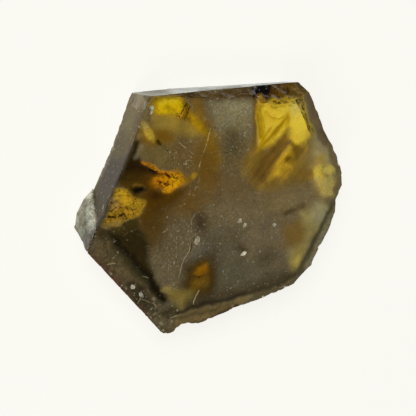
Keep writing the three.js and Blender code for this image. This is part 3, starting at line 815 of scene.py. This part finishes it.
def wandered(surface, places):
    """Places moved about a little, so that a border drawn on them isn't smooth."""
    for grain, reach in WARPS:
        moves = [reach * fractal(surface.drawn, grain, WARP_OCTAVES, seed) for seed in WARP_SEEDS]
        places = places + np.stack(moves, axis=1)
    return places


def plain_layers(count, colour, **values):
    """Layers with one value all over; those not given are 0."""
    names = ("clear", "rough", "dust", "crackle", "streaks")
    layers = {name: np.full((count, 1), float(values.get(name, 0))) for name in names}
    return {"colour": np.tile(linear(colour), (count, 1)), **layers}


def paint(surface):
    """The layers of every vertex, from the zones of the crystal."""
    depth = THICKNESS - surface.drawn[:, 2]
    places = surface.drawn[:, :2] + depth[:, None] * ZONE_LEAN
    layers = plain_layers(len(places), ARM_GREY, clear=ARM_CLEAR, dust=ARM_DUST)
    lay_zones(layers, ZONES, wandered(surface, places), 1 + BACK_SOFTNESS * depth / THICKNESS)
    layers["rough"] = ARM_ROUGHNESS + layers["clear"] * (WINDOW_ROUGHNESS - ARM_ROUGHNESS)
    return layers


def side_paint(surface, look):
    """The layers of every vertex as one side's own look has them."""
    first, second = look["colours"]
    layers = plain_layers(len(surface.drawn), first, **look)
    mottles = fractal(surface.drawn, look["grain"], **MOTTLES)
    mottle = smooth_step(mottles, *MOTTLE_LEVELS)[:, None]
    layers["colour"] += mottle * (linear(second) - layers["colour"])
    depth = THICKNESS - surface.drawn[:, 2]
    places = surface.drawn[:, :2] + depth[:, None] * OUTSIDE_LEAN
    lay_zones(layers, look.get("zones", {}), wandered(surface, places))
    return layers


def side_parts(surface):
    """How much of each side's look every face corner has."""
    parts = {name: 1.0 * surface.corner_on(name)[:, None] for name in SIDES}
    soft = {name: surface.vertex_share(name)[surface.corner_vertex, None] for name in SOFT_SIDES}
    total = np.maximum(sum(soft.values()), NO_SHARE)
    on_soft_side = sum(parts[name] for name in SOFT_SIDES)
    for name in SOFT_SIDES:
        parts[name] = on_soft_side * soft[name] / total
    return parts


def side_layers(surface, layers):
    """The paint on every face corner, with the looks of the sides over the zones of the crystal."""
    plain = {name: layer[surface.corner_vertex] for name, layer in layers.items()}
    corner = {name: layer.copy() for name, layer in plain.items()}
    light = np.full_like(corner["clear"], FRONT_LIGHT)
    gloss = np.full_like(corner["clear"], FRONT_GLOSS)
    for name, part in side_parts(surface).items():
        look = SIDES[name]
        for key, own in side_paint(surface, look).items():
            corner[key] += part * look["share"] * (own[surface.corner_vertex] - plain[key])
        light += part * (look["light"] - FRONT_LIGHT)
        gloss += part * (look["gloss"] - FRONT_GLOSS)
    clear = corner["clear"]
    seen = (1 - clear) * light + clear * (clear + MILKY_BACK * (1 - clear)) * CLEAR_LIGHT
    base = np.maximum((corner["colour"] - gloss) / seen, 0)
    corner["base"] = base / np.maximum(base.max(axis=1, keepdims=True), 1)
    return corner


# Fine marks, drawn as lines with a half width and a strength. They are too thin for the mesh, so each
# face corner keeps its distance to the nearest one, with a sign for the side that it is on.

PALE_MARKS = [
    ([(-1.9, 8.9), (-2.2, 7.8), (-2.5, 6.8), (-2.9, 5.8), (-3.1, 5), (-3.3, 4.2)], 0.03, 0.75),
    ([(-3.1, 3.3), (-3.3, 2.6), (-3.6, 2)], 0.04, 0.6),
    ([(-3.6, -0.8), (-3.9, -1.5), (-4, -2.6)], 0.03, 0.4),
    ([(-4, -3), (-4, -4.2)], 0.03, 0.3),
    ([(-4, -4.4), (-4.1, -4.9), (-4.7, -5.9)], 0.035, 0.6),
    ([(-4.8, -6.1), (-5.1, -7.2)], 0.03, 0.5),
    ([(-5.1, -7.3), (-5.4, -8.3)], 0.04, 0.4),
    ([(-2.7, -9.5), (-3, -10.1), (-3.3, -10.9)], 0.05, 0.7),
    ([(-1.5, 8.7), (-1.1, 8.1)], 0.03, 0.45),
    ([(-5.8, 7.2), (-5, 6.7)], 0.04, 0.45),
    ([(-4.5, 6.3), (-4, 6)], 0.03, 0.35),
    ([(-4.6, 7.3), (-4.2, 7.5)], 0.03, 0.35),
    ([(-6.3, 6.1), (-5.9, 6.4)], 0.03, 0.35),
    ([(-4.9, 5.2), (-4.5, 5.4), (-4.1, 5.3)], 0.03, 0.35),
    ([(-12.1, -2.7), (-11.6, -2.4), (-10.7, -2.1)], 0.03, 0.14),
    ([(-9.7, -7.4), (-9.1, -7.6)], 0.03, 0.4),
    ([(-9.9, -9.9), (-9.3, -10.1), (-8.5, -10.5)], 0.03, 0.35),
    ([(-8.3, -10.4), (-7.8, -11)], 0.04, 0.4),
    ([(-9.9, -9.7), (-10.2, -10.3)], 0.03, 0.4),
    ([(-13.9, -5.8), (-13.5, -5.7), (-13.1, -5.8)], 0.05, 0.4),
    ([(-6.1, -12.3), (-4.7, -12.1)], 0.04, 0.4),
    ([(-5.3, -11.5), (-5, -12.1)], 0.04, 0.4),
    ([(-5.7, -5.4), (-5.4, -5.1)], 0.04, 0.4),
    ([(-6.5, -2.8), (-6.1, -2.9)], 0.04, 0.4),
    ([(2.6, -5.75), (3.3, -5.45)], 0.07, 0.8),
    ([(8.2, -9.9), (8.6, -9.8)], 0.05, 0.4),
]
PALE_SPECKS = [
    (-10.9, -8.7), (-9.7, -9.5), (-8.2, -10.1), (-9.3, -7.5), (-13.5, -5.8), (-10, -7.9), (-8.2, -11.8),
    (-7.2, -13.1), (-13.3, -5.1), (-13.2, -3.3), (-7.4, -12.8), (-8.4, -9.9), (-5.3, -3.3), (-6.3, -3.1),
    (-7.3, -2.5), (-2.3, -4.1), (-2.7, -5.5), (0.9, -3.9), (-0.3, -2.2), (4.3, -6.6), (1.5, -9.5),
    (1.8, -11.6), (-2.6, 9.8), (-1, 12.9), (-1.3, 12.8), (2.6, 13.2), (-1.2, 12.1), (-2, 11.8),
    (-6.2, -1.9), (-5.6, -2.6), (-4.9, -3.9), (-6.9, -4.4),
]
SPECK_X, SPECK_Y = 0.03, 0.02  # from the middle to the end of the short line that a speck is
SPECK_WIDTH, SPECK_STRENGTH = 0.045, 0.45
for x, y in PALE_SPECKS:
    ends = [(x - SPECK_X, y - SPECK_Y), (x + SPECK_X, y + SPECK_Y)]
    PALE_MARKS.append((ends, SPECK_WIDTH, SPECK_STRENGTH))
DARK_MARKS = [
    # Cracks in the upper left window
    ([(-5, 11.7), (-5.2, 11.1), (-5.55, 10.7), (-5.9, 10.1)], 0.07, 0.9),
    ([(-4.6, 11.2), (-4.85, 10.7), (-5.2, 10)], 0.05, 0.75),
    ([(-6.1, 11.6), (-5.7, 11.2), (-5.4, 11.1)], 0.03, 0.5),
    ([(-6.3, 10.5), (-6.1, 10.1)], 0.04, 0.6),
    ([(-7.9, 11), (-7.1, 10.6), (-6.5, 10.3)], 0.03, 0.35),
    ([(-6.9, 11.8), (-6.5, 11.4), (-6.3, 11.3)], 0.03, 0.35),
    # Cracks in the orange flake
    ([(-9.3, 4.45), (-8.7, 4.15), (-8, 4), (-7.4, 3.95), (-6.9, 3.6)], 0.1, 0.95),
    ([(-8.2, 3.1), (-7.7, 2.85), (-7.2, 2.9), (-6.8, 3.2)], 0.09, 0.95),
    ([(-7.9, 2.6), (-7.4, 2.45), (-6.9, 2.7)], 0.07, 0.9),
    ([(-6.6, 3.8), (-6.3, 3.4), (-5.7, 3.3)], 0.06, 0.9),
    ([(-7, 3.4), (-6.5, 3), (-6.4, 2.5)], 0.05, 0.8),
    ([(-6, 3.1), (-5.8, 2.8)], 0.05, 0.7),
    # Cracks in the fan
    ([(-13.4, 1.65), (-12.8, 1.6), (-12.2, 1.75), (-11.5, 1.6)], 0.05, 0.6),
    ([(-14.1, 0), (-13.6, 0), (-13.2, 0.35)], 0.08, 0.9),
    ([(-14.2, -0.5), (-13.7, -0.65), (-13.1, -0.75), (-12.4, -0.45)], 0.1, 0.95),
    ([(-13.2, -0.25), (-12.7, -0.15), (-12.1, -0.4), (-11.8, -0.9)], 0.07, 0.9),
    ([(-12.7, 0.5), (-12.3, 0.3), (-12, 0.45)], 0.05, 0.7),
    ([(-11.8, 0.2), (-11.2, 0), (-10.7, 0.15)], 0.06, 0.7),
    ([(-11.6, -0.4), (-11.2, -0.5)], 0.06, 0.8),
    ([(-12.9, 1.1), (-12.3, 0.9)], 0.04, 0.5),
    ([(-11.5, 0.9), (-11, 0.6)], 0.05, 0.6),
    # The upper right window: dashes under its edge, an arc, fibres and streaks
    (LONG_DASH, 0.1, 0.85),
    ([(7.5, 11.8), (8, 11.8)], 0.06, 0.6),
    (SHORT_DASH, 0.07, 0.6),
    ([(9.4, 11.8), (9.6, 11.7)], 0.05, 0.5),
    (ARC, 0.05, 0.3),
    ([(4.3, 11.5), (4.5, 10.7), (4.8, 9.8), (5.1, 8.9)], 0.07, 0.4),
    ([(3.95, 11.2), (4.1, 10.2), (4.35, 9), (4.5, 7.8)], 0.08, 0.45),
    ([(4.8, 11.3), (5, 10.5)], 0.05, 0.25),
    (STREAK, 0.08, 0.35),
    ([(7.5, 9), (6.8, 8.2), (6, 7.3)], 0.06, 0.3),
    ([(6, 8.9), (5.3, 8.1), (4.7, 7.1)], 0.06, 0.3),
    # Small marks in the arms
    ([(-8.5, 7.6), (-8.1, 7.2)], 0.12, 0.5),
    ([(-7.4, 6.9), (-7.15, 6.4)], 0.08, 0.45),
    ([(-3.2, -7.8), (-2.8, -7.95), (-2.2, -7.8)], 0.09, 0.75),
    ([(-3.75, -0.9), (-4.1, -3.2)], 0.08, 0.3),
    ([(-3.8, -4.2), (-3.95, -4.8)], 0.08, 0.5),
]
MARK_REACH = 0.6  # beyond this a vertex has no mark
MARK_WANDER = 0.1
MARK_WAVES = {"grain": 0.8, "octaves": 2}
MARK_SEED_STEP = 6
MARK_DEPTHS = (0.3, 0.05)  # below the polished face: where a mark is gone, and where it begins to fade
PALE_MARK_COLOUR = (172, 160, 122)


def mark_distances(surface, marks, seed):
    """Signed distance, distance, half width and strength of the nearest mark, at every vertex."""
    seeds = (seed, seed + MARK_SEED_STEP)
    wander = np.stack([fractal(surface.drawn, seed=each, **MARK_WAVES) for each in seeds], axis=1)
    places = surface.drawn[:, :2] + MARK_WANDER * wander
    nearest = np.full(len(places), MARK_REACH)
    width = np.zeros(len(places))
    strength = np.zeros(len(places))
    for line, half_width, shown in marks:
        distance = distance_to_line(places, line)
        closer = np.abs(distance) < np.abs(nearest)
        nearest = np.where(closer, distance, nearest)
        width = np.where(closer, half_width, width)
        strength = np.where(closer, shown, strength)
    strength *= smooth_step(surface.drawn[:, 2], *(THICKNESS - depth for depth in MARK_DEPTHS))
    return np.stack([nearest, np.abs(nearest), width, strength], axis=1)


def add_layer(mesh, name, values):
    """A colour layer with one value for each face corner."""
    layer = mesh.color_attributes.new(name, "FLOAT_COLOR", "CORNER")
    layer.data.foreach_set("color", values.astype(np.float32).ravel())


SHARP_EDGE = math.radians(32)


def build_crystal():
    """The slice as one fine mesh, with its relief and its paint."""
    fine = fine_mesh()
    surface = Surface(fine)
    corner = side_layers(surface, paint(surface))
    add_layer(fine, "tint", np.hstack([corner["base"], corner["clear"]]))
    add_layer(fine, "finish", np.hstack([corner[name] for name in ("rough", "dust", "crackle", "streaks")]))
    add_layer(fine, "pale_marks", mark_distances(surface, PALE_MARKS, 83)[surface.corner_vertex])
    add_layer(fine, "dark_marks", mark_distances(surface, DARK_MARKS, 97)[surface.corner_vertex])
    relieve(surface)
    fine.vertices.foreach_set("co", (surface.points * MM).ravel())
    fine.update()
    fine.set_sharp_from_angle(angle=SHARP_EDGE)
    crystal = bpy.data.objects.new("crystal", fine)
    bpy.context.scene.collection.objects.link(crystal)
    return crystal


# Material

QUARTZ_IOR = 1.544
AMBER = (0.952, 0.834, 0.12, 1)
AMBER_DENSITY = 300  # per metre
DUST_COLOUR = (0.78, 0.7, 0.48)
CRACK_COLOUR = (0.012, 0.008, 0.001)
WARM = (1.04, 1.0, 0.93)
COOL = (0.98, 1.0, 1.05)
STREAK_TURN = math.radians(-46)  # brings the streaks of the upper right window level
STREAK_CELLS = (0.22, 1.7, 1)  # streaks to the mm, along and across
BUMP_CELLS = 2.6  # bumps to the mm
BUMP_STRENGTH = 0.25
BUMP_DEPTH = 0.02 * MM


class Tree:
    """Short names for making and joining a material's nodes."""

    def __init__(self, material):
        material.use_nodes = True
        self.nodes = material.node_tree.nodes
        self.links = material.node_tree.links

    def node(self, kind, settings=None, **inputs):
        """A node with its settings, and with inputs given by name as values or as sockets."""
        node = self.nodes.new("ShaderNode" + kind)
        for name, value in (settings or {}).items():
            setattr(node, name, value)
        for name, value in inputs.items():
            self.join(value, node.inputs[name.replace("_", " ")])
        return node

    def join(self, value, socket):
        """Gives a socket a value, or a link from another node's socket."""
        if isinstance(value, bpy.types.NodeSocket):
            self.links.new(value, socket)
        else:
            socket.default_value = value

    def operation(self, kind, name, values, **settings):
        """The result of a node that reckons with values in the order of its inputs."""
        node = self.node(kind, {"operation": name, **settings})
        for value, socket in zip(values, node.inputs):
            self.join(value, socket)
        return node.outputs[0]

    def math(self, name, *values, clamp=False):
        """A sum, product or the like of numbers."""
        return self.operation("Math", name, values, use_clamp=clamp)

    def product(self, first, *others):
        """All the numbers multiplied."""
        for other in others:
            first = self.math("MULTIPLY", first, other)
        return first

    def without(self, share):
        """What a share leaves of one."""
        return self.math("SUBTRACT", 1.0, share)

    def scaled(self, vector, scale):
        """A vector times another, part by part."""
        return self.operation("VectorMath", "MULTIPLY", (vector, scale))

    def dimmed(self, colour, factor):
        """A colour times a number."""
        return self.scaled(colour, self.node("CombineXYZ", X=factor, Y=factor, Z=factor).outputs[0])

    def ramp(self, value, low, high):
        """0 at low and 1 at high, smooth between; low may be the larger."""
        node = self.node("MapRange", {"interpolation_type": "SMOOTHSTEP"}, Value=value)
        self.join(low, node.inputs["From Min"])
        self.join(high, node.inputs["From Max"])
        return node.outputs[0]

    def mix(self, share, first, second):
        """The first colour with a share of the second."""
        node = self.node("Mix", {"data_type": "RGBA"})
        self.join(share, node.inputs["Factor"])
        self.join(first, node.inputs["A"])
        self.join(second, node.inputs["B"])
        return node.outputs["Result"]

    def noise(self, at, scale, detail, rough=0.5, distortion=0.0):
        """Cloudy noise from 0 to 1: scale is in clouds to the mm."""
        return self.node("TexNoise", Vector=at, Scale=scale, Detail=detail, Roughness=rough,
                         Distortion=distortion).outputs["Fac"]


def opaque(colour):
    """A colour of three numbers with full alpha."""
    return (*colour, 1)


def attribute(tree, name):
    """The red, green, blue and alpha of a colour layer, and the whole colour."""
    node = tree.node("Attribute", {"attribute_name": name})
    parts = tree.node("SeparateColor", Color=node.outputs["Color"])
    return [*parts.outputs, node.outputs["Alpha"], node.outputs["Color"]]


def speckle(tree, at, cells, size, share_lit):
    """Small grains: cells to the mm, size as a part of a cell, and the share of cells with one."""
    cell = tree.node("TexVoronoi", Vector=at, Scale=cells)
    lit = tree.node("SeparateColor", Color=cell.outputs["Color"])
    grain = tree.ramp(cell.outputs["Distance"], size, size * 0.4)
    shown = tree.ramp(lit.outputs[0], 1 - share_lit, 1 - share_lit + 0.08)
    return tree.product(grain, shown)


def marks(tree, at, name):
    """How much of a fine mark there is at each place, from the distances in its layer."""
    side, off, width, shown, _ = attribute(tree, name)
    uneven = tree.math("MULTIPLY_ADD", tree.noise(at, 2.6, detail=2.0), 2.4, -0.35)
    width = tree.product(width, uneven)
    line = tree.ramp(tree.math("SUBTRACT", tree.math("ABSOLUTE", side), width), 0.05, 0.0)
    near = tree.ramp(tree.math("SUBTRACT", off, width), 0.17, 0.11)
    broken = tree.ramp(tree.noise(at, 1.6, detail=2.0), 0.36, 0.5)
    return tree.product(line, near, shown, broken)


def crack_lines(tree, at):
    """Short dark curved lines."""
    field = tree.noise(at, 1.1, detail=4.0, rough=0.6, distortion=1.1)
    off = tree.math("ABSOLUTE", tree.math("SUBTRACT", field, 0.5))
    line = tree.ramp(off, 0.035, 0.004)
    gaps = tree.ramp(tree.noise(at, 1.1, detail=1.0), 0.42, 0.56)
    return tree.product(line, gaps)


def clouded(tree, at, colour, dust):
    """The colour with large warm and cool clouds, and with grain where it is dusty."""
    clouds = tree.noise(at, 0.42, detail=4.0, rough=0.6, distortion=0.8)
    warmth = tree.noise(at, 0.9, detail=3.0, rough=0.6)
    grain = tree.noise(at, 4.6, detail=3.0, rough=0.75)
    depth = tree.math("MULTIPLY_ADD", dust, 1.7, 0.35)
    grainy = tree.math("MULTIPLY_ADD", tree.math("SUBTRACT", grain, 0.5), depth, 1.0)
    cloudy = tree.math("MULTIPLY_ADD", clouds, 0.84, 0.58)
    colour = tree.dimmed(colour, tree.product(cloudy, grainy))
    hue = tree.mix(tree.ramp(warmth, 0.3, 0.7), opaque(WARM), opaque(COOL))
    return tree.scaled(colour, hue)


def flaked(tree, at, colour, crackle):
    """The colour broken into flakes of differing brightness, with dark cracks between them."""
    wobble = tree.node("TexNoise", Vector=at, Scale=1.4, Detail=2.0).outputs["Color"]
    warped = tree.operation("VectorMath", "ADD", (at, wobble))
    flakes = tree.node("TexVoronoi", Vector=warped, Scale=2.3).outputs["Color"]
    light = tree.math("MULTIPLY_ADD", tree.node("SeparateColor", Color=flakes).outputs[1], 1.1, 0.5)
    colour = tree.mix(crackle, colour, tree.dimmed(colour, light))
    cracks = tree.product(crack_lines(tree, at), crackle)
    return tree.mix(cracks, colour, opaque(CRACK_COLOUR))


def streaked(tree, at, colour, streaks):
    """The colour with long slanting streaks."""
    turned = tree.node("VectorRotate", {"rotation_type": "Z_AXIS"}, Vector=at, Angle=STREAK_TURN)
    stretched = tree.scaled(turned.outputs[0], STREAK_CELLS)
    field = tree.noise(stretched, 1.0, detail=3.0, rough=0.6)
    light = tree.math("MULTIPLY_ADD", tree.ramp(field, 0.3, 0.7), 0.9, 0.5)
    return tree.mix(streaks, colour, tree.dimmed(colour, light))


def specks(tree, at, dust):
    """Fine dust, small specks and a few large ones."""
    fine = tree.product(speckle(tree, at, 3.4, 0.42, 0.36), 0.5)
    small = tree.product(speckle(tree, at, 1.9, 0.3, 0.26), 0.75)
    large = speckle(tree, at, 0.75, 0.13, 0.25)
    patchy = tree.ramp(tree.noise(at, 0.7, detail=2.0), 0.3, 0.6)
    most = tree.math("MAXIMUM", tree.math("MAXIMUM", fine, small), large)
    return tree.math("MULTIPLY", tree.product(most, patchy), dust, clamp=True)


def quartz():
    """Milky arms and clear windows in one stone, with dust, fine cracks and scratches."""
    material = bpy.data.materials.new("quartz")
    tree = Tree(material)
    shader = tree.nodes["Principled BSDF"]
    output = tree.nodes["Material Output"]
    at = tree.scaled(tree.node("TexCoord").outputs["Object"], (1 / MM,) * 3)
    _, _, _, clear, tint = attribute(tree, "tint")
    rough, dust, crackle, streaks, _ = attribute(tree, "finish")

    colour = clouded(tree, at, tint, dust)
    colour = streaked(tree, at, colour, streaks)
    colour = flaked(tree, at, colour, crackle)
    dark = marks(tree, at, "dark_marks")
    colour = tree.dimmed(colour, tree.without(dark))
    grains = specks(tree, at, dust)
    colour = tree.mix(grains, colour, opaque(DUST_COLOUR))
    pale = marks(tree, at, "pale_marks")
    colour = tree.mix(pale, colour, opaque(linear(PALE_MARK_COLOUR) / FRONT_LIGHT))

    covered = tree.math("MAXIMUM", grains, pale)
    see_through = tree.product(clear, tree.without(covered))
    tree.join(colour, shader.inputs["Base Color"])
    tree.join(see_through, shader.inputs["Transmission Weight"])
    tree.join(rough, shader.inputs["Roughness"])
    shader.inputs["IOR"].default_value = QUARTZ_IOR

    height = tree.noise(at, BUMP_CELLS, detail=5.0)
    bump = tree.node("Bump", Height=height, Strength=BUMP_STRENGTH, Distance=BUMP_DEPTH)
    tree.join(bump.outputs[0], shader.inputs["Normal"])

    absorption = tree.node("VolumeAbsorption", Color=AMBER, Density=AMBER_DENSITY)
    tree.join(absorption.outputs[0], output.inputs["Volume"])
    return material


make_camera()
make_floor()
make_light()

crystal = build_crystal()
crystal.data.materials.clear()
crystal.data.materials.append(quartz())

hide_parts("crystal_slice")
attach(crystal, "root")
